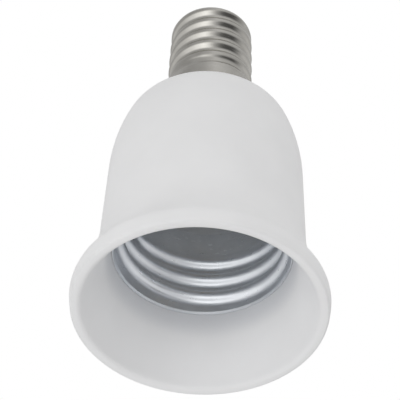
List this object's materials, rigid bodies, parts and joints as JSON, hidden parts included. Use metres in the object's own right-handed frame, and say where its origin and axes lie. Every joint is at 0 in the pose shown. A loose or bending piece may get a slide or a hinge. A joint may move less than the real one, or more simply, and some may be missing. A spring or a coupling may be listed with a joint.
{
  "type": "lamp socket adapter",
  "caption": "White flared plastic adapter with a small outside screw cap on top and a large inside screw socket in its mouth, so a large-cap lamp fits a small lampholder.",
  "frame": {"origin": "centre of the rim's flat at the bottom of the bell, on the common axis", "axes": "+Z along the common axis of socket and cap, from the open mouth to the contact tip; +X from the axis towards the rivet of the contact leaf"},
  "size_m": [0.0386, 0.0386, 0.066],
  "materials": {
    "white_plastic": "satin moulded",
    "plated_cap": "nickel plated, satin gloss",
    "shell_sheet": "drawn sheet, satin",
    "dark_insulator": "glossy",
    "carrier_plastic": "matt moulded",
    "contact_brass": "stamped, slightly dull"
  },
  "bodies": {
    "adapter": {"housing": "white_plastic", "screw_cap": "plated_cap", "cap_insulator": "dark_insulator", "tip_contact": "contact_brass", "socket_shell": "shell_sheet", "contact_carrier": "carrier_plastic", "contact_leaf": "contact_brass", "leaf_rivet": "contact_brass", "centre_strip": "contact_brass", "side_strip": "contact_brass"},
    "contact": {"contact_bead": "contact_brass"}
  },
  "joints": [
    {"name": "contact_press", "type": "slide", "parent": "adapter", "child": "contact", "axis": [0, 0, 1], "range_m": [0, 0.0012], "stiffness_N_per_m": 2000, "deforming": ["contact_leaf"]}
  ]
}
